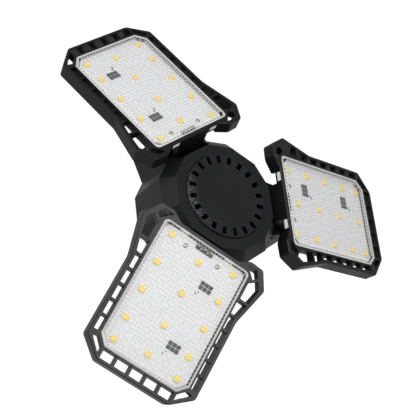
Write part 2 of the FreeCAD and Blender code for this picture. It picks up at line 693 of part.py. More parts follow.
def hub_housing():
    """Twelve-sided shell with a bevelled front and a slotted boss for each leaf."""
    body = new_body("hub_housing")
    crown = pad(body, [dodecagon("hub_apothem")], "-bevel_deep", "bevel_deep - face_drop")
    taper(body, crown, "-bevel_deep", "atan(bevel_wide / (bevel_deep - face_drop))")
    foot = pad(body, [hub_plan()], "-boss_drop", "hub_deep - boss_drop", reverse=True)
    front = size("-boss_drop")
    beyond = size(f"{BOSS_ROOT} + 6")
    rim = edges_where(
        foot, lambda edge, middle: abs(middle.z - front) < 1e-6 and math.hypot(middle.x, middle.y) > beyond
    )
    dress(body, foot, "Chamfer", rim, "boss_edge")
    pad(body, [dodecagon("hub_apothem")], "-bevel_deep", "hub_deep - bevel_deep - 1", reverse=True)
    pocket(body, [cavity_outline()], "-hub_deep - 1", "hub_deep + 1 - cavity_drop", reverse=True)
    throat = dodecagon(f"{SLOT_INNER} - hub_wall - throat_step")
    pocket(body, [throat], "-hub_deep - 1", "hub_deep + 1 - face_drop - hub_wall", reverse=True)
    round_feature(body, "Pocket", [("0", "0", "disc_radius + disc_gap")], "1", "disc_thick + 1")
    round_feature(body, "Pocket", [("0", "0", "disc_radius + disc_gap - disc_ledge")], "1", "cavity_drop")
    half = "arm_wide / 2 + washer_thick + 2 * washer_gap"
    slot = pocket(
        body, [beside(f"-({half})", half, SLOT_INNER, f"{BOSS_REACH} + 1")],
        "1", "hinge_drop + arm_thick / 2 + floor_gap + 1",
    )
    boss_inside = f"{BOSS_REACH} - hub_wall"
    hollow = pocket(
        body,
        [beside("hub_wall - boss_reach_half", "boss_reach_half - hub_wall", SLOT_INNER, boss_inside)],
        "-hub_deep - 1", "hub_deep + 1 - hinge_drop - arm_thick / 2 - floor_gap - hub_wall", reverse=True,
    )
    hole = round_feature(
        body, "Pocket", [(f"-{HINGE_OUT}", "-hinge_drop", "bolt_radius + bolt_fit")],
        "bolt_reach + bolt_fit", "bolt_reach + boss_root_half + 2", "YZ_Plane",
    )
    seat = round_feature(
        body, "Pocket", [(f"-{HINGE_OUT}", "-hinge_drop", "head_radius + head_gap")],
        "-head_seat", "boss_root_half", "YZ_Plane",
    )
    around(body, [slot, hollow, hole, seat], "3")
    post = pad(
        body,
        [rectangle("-post_half", "post_half", f"{POST_PLACE} - post_half", "hub_apothem - hub_wall / 2")],
        "-hub_deep", "hub_deep - cavity_drop + 0.2",
    )
    drilled = octagon("0", POST_PLACE, "screw_radius")
    pilot = pocket(body, [drilled], "-hub_deep - 1", "screw_long + 2", reverse=True)
    around(body, [post, pilot], "3")
    return body


def front_disc():
    """Round front cover with a ring of radial vent slots and three pegs that reach the junction board."""
    body = new_body("front_disc")
    plate = round_feature(body, "Pad", [("0", "0", "disc_radius")], "-disc_thick", "disc_thick")
    dress(body, plate, "Chamfer", edges_where(plate, lambda edge, middle: abs(middle.z) < 1e-6), "disc_edge")
    vent = pocket(
        body, [beside("-vent_wide / 2", "vent_wide / 2", f"{VENT_OUTER} - vent_long", VENT_OUTER)],
        "1", "disc_thick + 2",
    )
    around(body, [vent], "vent_count")
    peg = pad(body, [square_post("peg_wide")], "-junction_drop", "junction_drop - disc_thick + 0.2")
    around(body, [peg], "3")
    return body


def junction_board():
    body = new_body("junction_board")
    pad(body, [dodecagon("junction_apothem")], "-junction_drop", "junction_thick", reverse=True)
    return body


def board_plugs():
    body = new_body("board_plugs")
    low, high = ("plug_place - plug_wide / 2", "plug_place + plug_wide / 2")
    block_plan = beside("-plug_long / 2", "plug_long / 2", low, high)
    first = pad(body, [block_plan], "-junction_drop", "plug_tall")
    around(body, [first], "3")
    return body


def rear_cover():
    """Back plate of the hub with a ribbed, tapered neck and the posts that carry the junction board."""
    body = new_body("rear_cover")
    foot = "-hub_deep - cover_thick"
    tall = "neck_top - hub_deep - cover_thick"
    neck = pad(body, [dodecagon(NECK_WIDE)], foot, tall, reverse=True)
    tapered = taper(body, neck, foot, f"atan(({NECK_WIDE} - neck_narrow) / ({tall}))", down=True)
    doc.recompute()
    ends = [f"Face{n}" for n, face in enumerate(tapered.Shape.Faces, 1) if abs(face.normalAt(0, 0).z) > 0.99]
    shelled = body.newObject("PartDesign::Thickness", "shell")
    shelled.Base = (tapered, ends)
    shelled.setExpression("Value", bind("neck_wall"))
    shelled.Reversed = True
    body.Tip = shelled
    opening = dodecagon(f"{NECK_WIDE} - neck_wall * 1.4")
    pad(body, [hub_plan(), opening], "-hub_deep", "cover_thick", reverse=True)
    collar = [dodecagon("collar_half"), dodecagon("cap_radius - cap_wall - collar_gap")]
    pad(body, collar, "-neck_top", "cap_drop - neck_top", reverse=True)
    fin = new_sketch(body, "-fin_thick / 2", "XZ_Plane")
    add_polygon(fin, [
        ("collar_half - 1", "-neck_top + 1"),
        ("neck_narrow + fin_rise", "-neck_top"),
        (NECK_WIDE, f"{foot} - fin_rise * 2"),
        (NECK_WIDE, f"{foot} + 1"),
    ])
    rib = feature_of(body, "Pad", fin, "fin_thick")
    around(body, [rib], "fin_count")
    slope = f"({tall}) / ({NECK_WIDE} - neck_narrow)"
    stand_end = f"({NECK_WIDE} - peg_place - stand_wide / 2 - neck_wall / 8) * {slope}"
    stand = pad(
        body, [square_post("stand_wide")], "-junction_drop - junction_thick",
        f"hub_deep - junction_drop - junction_thick + cover_thick + {stand_end}", reverse=True,
    )
    around(body, [stand], "3")
    clear = octagon("0", POST_PLACE, "screw_radius + screw_gap")
    holes = pocket(body, [clear], "1 - hub_deep", "cover_thick + 2")
    around(body, [holes], "3")
    return body


def rear_screws():
    body = new_body("rear_screws")
    seat = "-hub_deep - cover_thick"
    shank = pad(body, [octagon("0", POST_PLACE, "screw_radius - 0.05")], seat, "screw_long")
    head = pad(body, [octagon("0", POST_PLACE, "screw_head")], seat, "screw_head_tall", reverse=True)
    around(body, [shank, head], "3")
    return body


CAP_END = "-cap_drop - cap_tall - cap_shoulder"


def cap_shell():
    """Shell of the screw cap, a plain sleeve here, with its rounded end."""
    body = new_body("cap_shell")
    revolve(body, [
        ("cap_radius - cap_wall", "-cap_drop"),
        ("cap_radius", "-cap_drop"),
        ("cap_radius", "-cap_drop - cap_tall"),
        ("insulator_radius", CAP_END),
        ("insulator_radius - cap_wall", CAP_END),
        ("insulator_radius - cap_wall", "-cap_drop - cap_tall"),
        ("cap_radius - cap_wall", "-cap_drop - cap_tall"),
    ])
    return body


def cap_insulator():
    body = new_body("cap_insulator")
    revolve(body, [
        ("0", "-cap_drop - cap_tall"),
        ("insulator_radius - cap_wall", "-cap_drop - cap_tall"),
        ("insulator_radius - cap_wall", CAP_END),
        ("contact_radius + cap_wall", f"{CAP_END} - insulator_tall"),
        ("0", f"{CAP_END} - insulator_tall"),
    ])
    way = octagon("0", "0", "lead_radius + lead_gap")
    pocket(body, [way], "1 - cap_drop - cap_tall", "cap_shoulder + insulator_tall + 2")
    return body


def cap_contact():
    body = new_body("cap_contact")
    revolve(body, [
        ("0", f"{CAP_END} - insulator_tall"),
        ("contact_radius", f"{CAP_END} - insulator_tall"),
        ("contact_radius * 0.6", f"{CAP_END} - insulator_tall - contact_tall"),
        ("0", f"{CAP_END} - insulator_tall - contact_tall"),
    ])
    return body


def lead(label, place, end):
    """A straight sleeved wire from the junction board down to the screw cap."""
    body = new_body(label)
    start = "-junction_drop - junction_thick"
    pad(body, [octagon(place, "0", "lead_radius")], start, f"{start} - ({end})", reverse=True)
    return body


# ---------------------------------------------------------------- assembly


def hanging():
    """Turns the hub's frame over, so that the cap points up, and lifts the cap's start to the origin."""
    return FreeCAD.Placement(
        FreeCAD.Vector(0, 0, -size("cap_drop")), FreeCAD.Rotation(FreeCAD.Vector(0, 1, 0), 180)
    )


def at_hinge(azimuth, tilt):
    turn = FreeCAD.Placement(FreeCAD.Vector(), FreeCAD.Rotation(FreeCAD.Vector(0, 0, 1), azimuth))
    shift = FreeCAD.Placement(
        FreeCAD.Vector(size(HINGE_OUT), 0, -size("hinge_drop")),
        FreeCAD.Rotation(FreeCAD.Vector(0, 1, 0), tilt),
    )
    return hanging() * turn * shift


neutral_place = "cap_radius - cap_wall - collar_gap - lead_gap - lead_radius"
hub_pieces = [
    hub_housing(), front_disc(), junction_board(), board_plugs(), rear_cover(), rear_screws(),
    cap_shell(), cap_insulator(), cap_contact(),
    lead("live_lead", "0", f"{CAP_END} - insulator_tall"),
    lead("neutral_lead", neutral_place, "-cap_drop - cap_tall / 2"),
]
for piece in hub_pieces:
    piece.Placement = hanging()
pieces = list(hub_pieces)

for leaf, hinge, azimuth, tilt in LEAVES:
    moving = [
        leaf_housing(f"{leaf}_housing"), leaf_lens(f"{leaf}_lens"), leaf_board(f"{leaf}_board"),
        leaf_leds(f"{leaf}_leds"), leaf_drivers(f"{leaf}_driver_chips"), leaf_rectifier(f"{leaf}_rectifier"),
        leaf_pads(f"{leaf}_solder_pads"),
    ]
    still = [hinge_bolt(f"{hinge}_bolt"), hinge_washers(f"{hinge}_washers")]
    for piece in moving:
        piece.Placement = at_hinge(azimuth, tilt)
    for piece in still:
        piece.Placement = at_hinge(azimuth, 0)
    pieces += moving + still

doc.recompute()
faults = [item.Label for item in doc.Objects if "Invalid" in item.State or "Error" in item.State]
faults += [piece.Label for piece in pieces if piece.Shape.isNull() or not piece.Shape.isValid()]
if faults:
    raise RuntimeError(f"not built: {faults}")
os.makedirs("parts", exist_ok=True)
for piece in pieces:
    piece.Shape.exportStep(f"parts/{piece.Label}.step")
    print(piece.Label, len(piece.Shape.Solids), round(piece.Shape.Volume))
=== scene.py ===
"""Looks of a ceiling lamp with three tilting LED leaves.

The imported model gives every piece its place, in metres, with +Z up towards the screw cap. Each leaf also has
a frame of its own: its origin on the hinge axis, X outward along the leaf, Y along the hinge axis and Z along
the light. Pieces of a leaf are made in that frame and then put in their place.
"""

import json
import math

import bmesh
import bpy
from mathutils import Matrix, Vector


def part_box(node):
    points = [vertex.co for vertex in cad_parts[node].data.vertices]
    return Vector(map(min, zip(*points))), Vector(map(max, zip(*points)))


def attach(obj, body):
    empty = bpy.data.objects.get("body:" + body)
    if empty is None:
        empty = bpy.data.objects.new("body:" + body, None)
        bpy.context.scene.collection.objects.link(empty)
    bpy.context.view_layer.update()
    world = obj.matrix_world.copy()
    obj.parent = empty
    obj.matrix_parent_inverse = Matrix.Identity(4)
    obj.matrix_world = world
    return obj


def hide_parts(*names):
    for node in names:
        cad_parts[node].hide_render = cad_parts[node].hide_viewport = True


bl_info = {
    "name": "Three-leaf garage light",
    "version": (1, 0, 0),
    "blender": (4, 5, 0),
    "location": "3D View > Sidebar > Lamp",
    "description": "Adds the fine pieces, the finishes and the studio of a screw-in lamp with three tilting LED leaves",
    "category": "Object",
}

MM = 0.001
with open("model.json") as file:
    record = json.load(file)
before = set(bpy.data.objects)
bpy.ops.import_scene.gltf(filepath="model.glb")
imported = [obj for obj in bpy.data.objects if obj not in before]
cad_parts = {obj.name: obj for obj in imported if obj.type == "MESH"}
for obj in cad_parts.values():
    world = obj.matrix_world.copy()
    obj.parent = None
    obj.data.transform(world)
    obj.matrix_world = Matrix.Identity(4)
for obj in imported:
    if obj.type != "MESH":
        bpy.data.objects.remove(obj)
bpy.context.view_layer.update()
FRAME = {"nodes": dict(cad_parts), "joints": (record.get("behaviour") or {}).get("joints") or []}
LEAVES = ("leaf_1", "leaf_2", "leaf_3")

# Radius at which a turned profile starts and ends: clean() then makes one point of the ring.
ON_AXIS = 0.0001 * MM

# ---------------------------------------------------------------- places


def leaf_place(leaf):
    """The matrix from a leaf's own frame, at rest, to the lamp's."""
    joint = next(joint for joint in FRAME["joints"] if joint["child"] == leaf)
    hinge = Vector(joint["pos_m"])
    along = Vector(joint["axis"]).normalized()
    outward = Vector((hinge.x, hinge.y, 0)).normalized()
    up = Vector((0, 0, 1))
    tilt = math.radians(-joint["range_deg"][0])
    x_axis = outward * math.cos(tilt) + up * math.sin(tilt)
    z_axis = outward * math.sin(tilt) - up * math.cos(tilt)
    turn = Matrix((x_axis, along, z_axis)).transposed().to_4x4()
    return Matrix.Translation(hinge) @ turn


def corners(points):
    """The lowest and the highest corner of the box round some points."""
    low = Vector([min(point[i] for point in points) for i in range(3)])
    high = Vector([max(point[i] for point in points) for i in range(3)])
    return low, high


def lamp_box(name):
    """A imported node's lowest and highest corner, in the lamp's frame."""
    low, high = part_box(name)
    return Vector(low), Vector(high)


def extent(name, place):
    """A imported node's lowest and highest corner, in a leaf's own frame."""
    back = place.inverted()
    return corners([back @ vertex.co for vertex in FRAME["nodes"][name].data.vertices])


def islands(name, place):
    """The boxes of a node's separate solids, in a leaf's own frame, as pairs of low and high corner."""
    bm = bmesh.new()
    bm.from_mesh(FRAME["nodes"][name].data)
    bmesh.ops.transform(bm, matrix=place.inverted(), verts=bm.verts)
    bmesh.ops.remove_doubles(bm, verts=bm.verts, dist=0.01 * MM)
    found = []
    seen = set()
    for vertex in bm.verts:
        if vertex.index in seen:
            continue
        seen.add(vertex.index)
        reached = [vertex]
        for member in reached:
            for edge in member.link_edges:
                other = edge.other_vert(member)
                if other.index not in seen:
                    seen.add(other.index)
                    reached.append(other)
        found.append(corners([member.co for member in reached]))
    bm.free()
    return found


# ---------------------------------------------------------------- meshes


def finish_piece(bm, name, finishes, body, nodes, place=None, smooth=None):
    """Makes an object of a bmesh, with its place in its mesh, and lets it ride on its body.

    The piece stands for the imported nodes, if any. Edges flatter than the smooth angle, in degrees, are soft.
    """
    if place is not None:
        bmesh.ops.transform(bm, matrix=place, verts=bm.verts)
    mesh = bpy.data.meshes.new(name)
    bm.to_mesh(mesh)
    bm.free()
    for finish in finishes:
        mesh.materials.append(finish)
    if smooth is not None:
        mesh.shade_smooth()
        mesh.set_sharp_from_angle(angle=math.radians(smooth))
    piece = bpy.data.objects.new(name, mesh)
    bpy.context.scene.collection.objects.link(piece)
    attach(piece, body)
    if nodes:
        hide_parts(*nodes)
    return piece


def add_block(bm, low, high):
    """A box between two corners. Gives its vertices back."""
    size = high - low
    place = Matrix.Translation((low + high) / 2) @ Matrix.Diagonal((size.x, size.y, size.z, 1))
    return bmesh.ops.create_cube(bm, size=1.0, matrix=place)["verts"]


def add_ball(bm, place, around, down):
    """A ball of radius 1, put in place by a matrix. Gives its vertices back."""
    made = bmesh.ops.create_uvsphere(bm, u_segments=around, v_segments=down, radius=1.0, matrix=place)
    return made["verts"]


def faces_of(verts):
    return {face for vertex in verts for face in vertex.link_faces}


def only(items, kind):
    """Those of an operator's results that are vertices, edges or faces."""
    return [item for item in items if isinstance(item, kind)]


def cut(bm, point, normal, dist=0.0):
    """Cuts off all that lies past a plane."""
    geom = bm.verts[:] + bm.edges[:] + bm.faces[:]
    bmesh.ops.bisect_plane(bm, geom=geom, dist=dist, plane_co=point, plane_no=normal, clear_outer=True)


def add_turned(bm, profile, centre=(0, 0, 0), steps=48, pitch=0.0):
    """Spins a line of (radius, height) points about an upright axis. A pitch makes a screw of it."""
    start = Vector(centre)
    verts = [bm.verts.new(start + Vector((radius, 0, height))) for radius, height in profile]
    edges = [bm.edges.new(pair) for pair in zip(verts, verts[1:])]
    bmesh.ops.spin(
        bm, geom=verts + edges, cent=start, axis=(0, 0, 1), dvec=(0, 0, pitch / steps), angle=math.tau,
        steps=steps, use_merge=pitch == 0.0, use_normal_flip=False,
    )


def clean(bm, dist=0.002 * MM):
    bmesh.ops.remove_doubles(bm, verts=bm.verts, dist=dist)
    bmesh.ops.recalc_face_normals(bm, faces=bm.faces)


# ---------------------------------------------------------------- materials


def linear(hexcode):
    """A colour node's value from an sRGB hex code."""
    parts = [int(hexcode[i:i + 2], 16) / 255 for i in (1, 3, 5)]
    bent = [part / 12.92 if part <= 0.04045 else ((part + 0.055) / 1.055) ** 2.4 for part in parts]
    return (*bent, 1.0)


def node(tree, kind, settings=None, inputs=None):
    """Adds a shader node. An input is given a value, or an output socket to link from."""
    made = tree.nodes.new(kind)
    for key, value in (settings or {}).items():
        setattr(made, key, value)
    for key, value in (inputs or {}).items():
        if isinstance(value, bpy.types.NodeSocket):
            tree.links.new(value, made.inputs[key])
        else:
            made.inputs[key].default_value = value
    return made


def new_material(name):
    """An empty material with its shader, and the tree that holds them."""
    material = bpy.data.materials.new(name)
    material.use_nodes = True
    tree = material.node_tree
    tree.nodes.clear()
    shader = node(tree, "ShaderNodeBsdfPrincipled")
    node(tree, "ShaderNodeOutputMaterial", inputs={"Surface": shader.outputs[0]})
    return material, tree, shader


def shader_of(material):
    return next(part for part in material.node_tree.nodes if part.type == "BSDF_PRINCIPLED")


def set_shader(shader, **values):
    """Sets sockets of a shader by their names in small letters, with underscores."""
    for key, value in values.items():
        shader.inputs[key.replace("_", " ").title().replace("Ior", "IOR")].default_value = value


def moulded_abs(name, hexcode, grain, depth, roughness):
    """ABS, injection moulded in a spark-eroded mould: a fine even grain that breaks up the highlights.

    The real grain is about 0.1 mm. It is drawn at 0.5 mm or more, so that it shows in the render.
    """
    material, tree, shader = new_material(name)
    place = node(tree, "ShaderNodeTexCoord").outputs["Object"]
    grains = node(tree, "ShaderNodeTexNoise", inputs={"Vector": place, "Scale": 1 / grain, "Detail": 3.0})
    cloud = node(tree, "ShaderNodeTexNoise", inputs={"Vector": place, "Scale": 1 / (35 * MM), "Detail": 2.0})
    dark = linear(hexcode)
    light = tuple(channel * 1.5 for channel in dark[:3]) + (1,)
    tint = node(tree, "ShaderNodeMix", {"data_type": "RGBA"}, {0: cloud.outputs["Fac"], 6: dark, 7: light})
    tree.links.new(tint.outputs[2], shader.inputs["Base Color"])
    gloss = node(tree, "ShaderNodeMapRange", inputs={
        "Value": cloud.outputs["Fac"], "From Min": 0.3, "From Max": 0.7,
        "To Min": roughness - 0.05, "To Max": roughness + 0.06,
    })
    tree.links.new(gloss.outputs[0], shader.inputs["Roughness"])
    rounded = node(tree, "ShaderNodeBevel", {"samples": 4}, {"Radius": 0.45 * MM})
    bump = node(tree, "ShaderNodeBump", inputs={
        "Strength": 0.35, "Distance": depth, "Height": grains.outputs["Fac"], "Normal": rounded.outputs[0],
    })
    tree.links.new(bump.outputs[0], shader.inputs["Normal"])
    set_shader(shader, ior=1.42)
    return material


def disc_with_painted_sheen(hexcode):
    """ABS with a fine grain, with a painted sheen: pale specks, about 0.7 mm across, along one side of its rim, where
    the light catches it.
    """
    material = moulded_abs("blue-black ABS, fine grain", hexcode, 0.5 * MM, 0.04 * MM, 0.46)
    tree = material.node_tree
    shader = shader_of(material)
    tint = shader.inputs["Base Color"].links[0].from_socket
    low, high = lamp_box("front_disc")
    radius = (high.x - low.x) / 2
    place = node(tree, "ShaderNodeTexCoord").outputs["Object"]
    flat = node(tree, "ShaderNodeVectorMath", {"operation": "MULTIPLY"}, {0: place, 1: (1, 1, 0)})
    out = node(tree, "ShaderNodeVectorMath", {"operation": "LENGTH"}, {0: flat.outputs[0]}).outputs["Value"]
    rim = node(tree, "ShaderNodeMapRange", {"interpolation_type": "SMOOTHSTEP"}, {
        "Value": out, "From Min": 0.72 * radius, "From Max": 0.84 * radius,
    })
    # Painted sheen: only the side of the rim that faces the light gets the pale specks.
    side = node(tree, "ShaderNodeVectorMath", {"operation": "DOT_PRODUCT"}, {0: place, 1: (0.73, -0.68, 0)})
    sheen_side = node(tree, "ShaderNodeMapRange", {"interpolation_type": "SMOOTHSTEP"}, {
        "Value": side.outputs["Value"], "From Min": 0.55 * radius, "From Max": 0.95 * radius, "To Min": 0.05,
    })
    specks = node(tree, "ShaderNodeTexNoise", inputs={
        "Vector": place, "Scale": 1 / (0.7 * MM), "Detail": 2.0,
    })
    pale = node(tree, "ShaderNodeMapRange", inputs={
        "Value": specks.outputs["Fac"], "From Min": 0.5, "From Max": 0.68,
    })
    where = node(tree, "ShaderNodeMath", {"operation": "MULTIPLY"}, {0: rim.outputs[0], 1: sheen_side.outputs[0]})
    amount = node(tree, "ShaderNodeMath", {"operation": "MULTIPLY"}, {
        0: where.outputs[0], 1: pale.outputs[0],
    })
    # The pale specks are a painted highlight mixed into the base colour.
    mixed = node(tree, "ShaderNodeMix", {"data_type": "RGBA"}, {
        0: amount.outputs[0], 6: tint, 7: linear("#6e6f72"),
    })
    tree.links.new(mixed.outputs[2], shader.inputs["Base Color"])
    return material


def plain(name, hexcode, roughness, metallic=0.0, grain=0.6 * MM, depth=0.02 * MM):
    """A finish with one colour, a faint cloudiness and a fine surface."""
    material, tree, shader = new_material(name)
    place = node(tree, "ShaderNodeTexCoord").outputs["Object"]
    grains = node(tree, "ShaderNodeTexNoise", inputs={"Vector": place, "Scale": 1 / grain, "Detail": 2.0})
    colour = linear(hexcode)
    light = tuple(min(1.0, channel * 1.15) for channel in colour[:3]) + (1,)
    tint = node(tree, "ShaderNodeMix", {"data_type": "RGBA"}, {0: grains.outputs["Fac"], 6: colour, 7: light})
    tree.links.new(tint.outputs[2], shader.inputs["Base Color"])
    bump = node(tree, "ShaderNodeBump", inputs={
        "Strength": 0.4, "Distance": depth, "Height": grains.outputs["Fac"],
    })
    tree.links.new(bump.outputs[0], shader.inputs["Normal"])
    set_shader(shader, roughness=roughness, metallic=metallic)
    if not metallic:
        set_shader(shader, ior=1.5)
    return material


def turned_black_steel():
    """Steel bolts, blackened: dark, with turning marks about 0.3 mm apart that streak the highlight."""
    material, tree, shader = new_material("blackened steel, turned")
    place = node(tree, "ShaderNodeTexCoord").outputs["Object"]
    marks = node(tree, "ShaderNodeTexNoise", inputs={"Vector": place, "Scale": 1 / (0.3 * MM), "Detail": 1.0})
    rough = node(tree, "ShaderNodeMapRange", inputs={
        "Value": marks.outputs["Fac"], "To Min": 0.25, "To Max": 0.5,
    })
    tree.links.new(rough.outputs[0], shader.inputs["Roughness"])
    set_shader(shader, base_color=linear("#35363a"), metallic=1.0)
    return material


def clear_sheet(name, hexcode, haze, slant):
    """Clear polycarbonate, moulded and polished: its haze shows more the flatter one looks along it."""
    material, tree, shader = new_material(name)
    facing = node(tree, "ShaderNodeLayerWeight", inputs={"Blend": 0.5}).outputs["Facing"]
    veil = node(tree, "ShaderNodeMapRange", inputs={"Value": facing, "To Min": haze, "To Max": haze + slant})
    tree.links.new(veil.outputs[0], shader.inputs["Alpha"])
    set_shader(shader, base_color=linear(hexcode), roughness=0.12, ior=1.58)
    return material


def clear_prisms():
    """Polycarbonate sheet, injection moulded with small square prisms, each painted white at its middle and grey in its
    valleys: a painted highlight and painted shade.

    The real prisms are as fine as drawn, 2.8 mm. The sheet is nearly clear, a little hazier at a slant, and
    the painted grey valleys read as a faint grid.
    """
    material, tree, shader = new_material("clear polycarbonate, prismatic")
    uv = node(tree, "ShaderNodeUVMap", {"uv_map": "prisms"})
    cell = node(tree, "ShaderNodeVectorMath", {"operation": "FRACTION"}, {0: uv.outputs[0]})
    centred = node(tree, "ShaderNodeVectorMath", {"operation": "SUBTRACT"}, {
        0: cell.outputs[0], 1: (0.5, 0.5, 0),
    })
    size = node(tree, "ShaderNodeVectorMath", {"operation": "ABSOLUTE"}, {0: centred.outputs[0]})
    axes = node(tree, "ShaderNodeSeparateXYZ", inputs={0: size.outputs[0]})
    edge = node(tree, "ShaderNodeMath", {"operation": "MAXIMUM"}, {0: axes.outputs[0], 1: axes.outputs[1]})
    valley = node(tree, "ShaderNodeMapRange", {"interpolation_type": "SMOOTHSTEP"}, {
        "Value": edge.outputs[0], "From Min": 0.26, "From Max": 0.5,
    })
    # Painted highlight and shade: white at each prism's middle, grey in its valleys; the haze below makes the grey more
    # opaque there.
    tint = node(tree, "ShaderNodeMix", {"data_type": "RGBA"}, {
        0: valley.outputs[0], 6: linear("#ffffff"), 7: linear("#a2a5ad"),
    })
    tree.links.new(tint.outputs[2], shader.inputs["Base Color"])
    facing = node(tree, "ShaderNodeLayerWeight", inputs={"Blend": 0.5}).outputs["Facing"]
    slant = node(tree, "ShaderNodeMapRange", inputs={"Value": facing, "From Max": 0.6, "To Max": 0.1})
    haze = node(tree, "ShaderNodeMapRange", inputs={
        "Value": valley.outputs[0], "To Min": 0.03, "To Max": 0.3,
    })
    both = node(tree, "ShaderNodeMath", {"operation": "ADD"}, {0: haze.outputs[0], 1: slant.outputs[0]})
    tree.links.new(both.outputs[0], shader.inputs["Alpha"])
    set_shader(shader, roughness=0.2, ior=1.58)
    return material


def lens_glow():
    """A painted glow on the lens: the yellow of an LED as the prisms spread it, strongest over its middle, gone at the
    patch's rim.
    """
    material, tree, shader = new_material("clear polycarbonate, painted LED glow")
    uv = node(tree, "ShaderNodeUVMap", {"uv_map": "prisms"})
    out = node(tree, "ShaderNodeSeparateXYZ", inputs={0: uv.outputs[0]}).outputs[0]
    veil = node(tree, "ShaderNodeMapRange", {"interpolation_type": "SMOOTHSTEP"}, {
        "Value": out, "From Min": 0.35, "From Max": 1.0, "To Min": 0.45, "To Max": 0.0,
    })
    tree.links.new(veil.outputs[0], shader.inputs["Alpha"])
    set_shader(shader, base_color=linear("#ffe554"), roughness=0.4, ior=1.58)
    # Painted glow: a weak constant yellow emission over the LED.
    set_shader(shader, emission_color=linear("#ffdf3c"), emission_strength=0.22)
    return material


def white_mask():
    """White solder mask over an aluminium board: silk-gloss, with copper areas 0.05 mm high under it."""
    material, tree, shader = new_material("white solder mask on aluminium")
    place = node(tree, "ShaderNodeTexCoord").outputs["Object"]
    traces = node(tree, "ShaderNodeTexBrick", {"offset": 0.5}, {
        "Vector": place, "Scale": 1 / (12 * MM), "Color1": linear("#f2f2f2"), "Color2": linear("#efeff0"),
        "Mortar": linear("#e6e6e6"), "Mortar Size": 0.03,
    })
    tree.links.new(traces.outputs["Color"], shader.inputs["Base Color"])
    bump = node(tree, "ShaderNodeBump", inputs={
        "Strength": 0.3, "Distance": 0.05 * MM, "Height": traces.outputs["Fac"],
    })
    tree.links.new(bump.outputs[0], shader.inputs["Normal"])
    set_shader(shader, roughness=0.38, ior=1.52)
    return material


def phosphor():
    """Yellow phosphor in silicone: saturated, slightly glossy, with a weak painted glow that stands in for the light it
    gives back.
    """
    material, tree, shader = new_material("LED phosphor in silicone")
    place = node(tree, "ShaderNodeTexCoord").outputs["Object"]
    grains = node(tree, "ShaderNodeTexNoise", inputs={"Vector": place, "Scale": 1 / (0.5 * MM)})
    tint = node(tree, "ShaderNodeMix", {"data_type": "RGBA"}, {
        0: grains.outputs["Fac"], 6: linear("#fbd52a"), 7: linear("#ffe850"),
    })
    tree.links.new(tint.outputs[2], shader.inputs["Base Color"])
    # The emission is a painted glow, the same whatever lights it.
    set_shader(shader, roughness=0.3, ior=1.42, emission_color=linear("#ffe03a"), emission_strength=0.3)
    return material


def pale_floor():
    """Matt white studio vinyl. It glows a little, to stay as pale as the backdrop in the dim light."""
    material = plain("white vinyl, matt", "#f1f1f0", 0.8, grain=4 * MM)
    set_shader(shader_of(material), emission_color=linear("#ffffff"), emission_strength=0.36)
    return material


MATERIALS = {}


def material(key):
    """A finish by its short name, made when it is first asked for."""
    settings = bpy.context.scene.lamp_sizes
    makers = {
        "hub": lambda: moulded_abs(
            "black ABS, spark-eroded grain", settings.hub_colour, 0.6 * MM, 0.05 * MM, 0.42),
        "disc": lambda: disc_with_painted_sheen(settings.disc_colour),
        "leaf": lambda: moulded_abs(
            "black ABS, satin grain", settings.leaf_colour, 0.6 * MM, 0.05 * MM, 0.38),
        "lens": clear_prisms,
        "lens border": lambda: clear_sheet("clear polycarbonate, polished", "#e9eae9", 0.5, 0.4),
        "lens rim": lambda: clear_sheet("clear polycarbonate, outer prisms", "#f2f2ee", 0.12, 1.0),
        "lens back": lambda: clear_sheet("clear polycarbonate, polished back", "#ffffff", 0.01, 0.05),
        "lens glow": lens_glow,
        "lens tab": lambda: clear_sheet("clear polycarbonate, full of light", "#ffffff", 0.9, 0.1),
        "lens edge": lambda: clear_sheet("clear polycarbonate, painted reflection of the wall", "#1c1d1f", 0.12, 1.2),
        "board": white_mask,
        "phosphor": phosphor,
        "package": lambda: plain("white PPA, moulded", "#f4ecc8", 0.45),
        "epoxy": lambda: plain("black epoxy, moulded", "#060606", 0.5, grain=0.4 * MM),
        "solder": lambda: plain("tin solder, reflowed", "#b9ad9c", 0.32, metallic=1.0),
        "tin": lambda: plain(
            "tin solder, dipped", "#c3c4c2", 0.35, metallic=1.0, grain=1.5 * MM, depth=0.08 * MM),
        "nickel": lambda: plain("nickel on brass, rolled", "#c9c6bf", 0.24, metallic=1.0, grain=2.0 * MM),
        "insulator": lambda: plain("black glass, fused", "#0c0c0e", 0.12, grain=1.5 * MM),
        "bolt": turned_black_steel,
        "washer": lambda: plain("black nylon, turned", "#232326", 0.5),
        "laminate": lambda: plain("black solder mask on glass laminate", "#0d100e", 0.4),
        "plug": lambda: plain("black nylon, moulded", "#111112", 0.5),
        "red_sleeve": lambda: plain("red silicone sleeve, extruded", "#8d1f1a", 0.5),
        "white_sleeve": lambda: plain("white silicone sleeve, extruded", "#dedcd6", 0.5),
        "floor": pale_floor,
    }
    if key not in MATERIALS:
        MATERIALS[key] = makers[key]()
    return MATERIALS[key]


# ---------------------------------------------------------------- settings


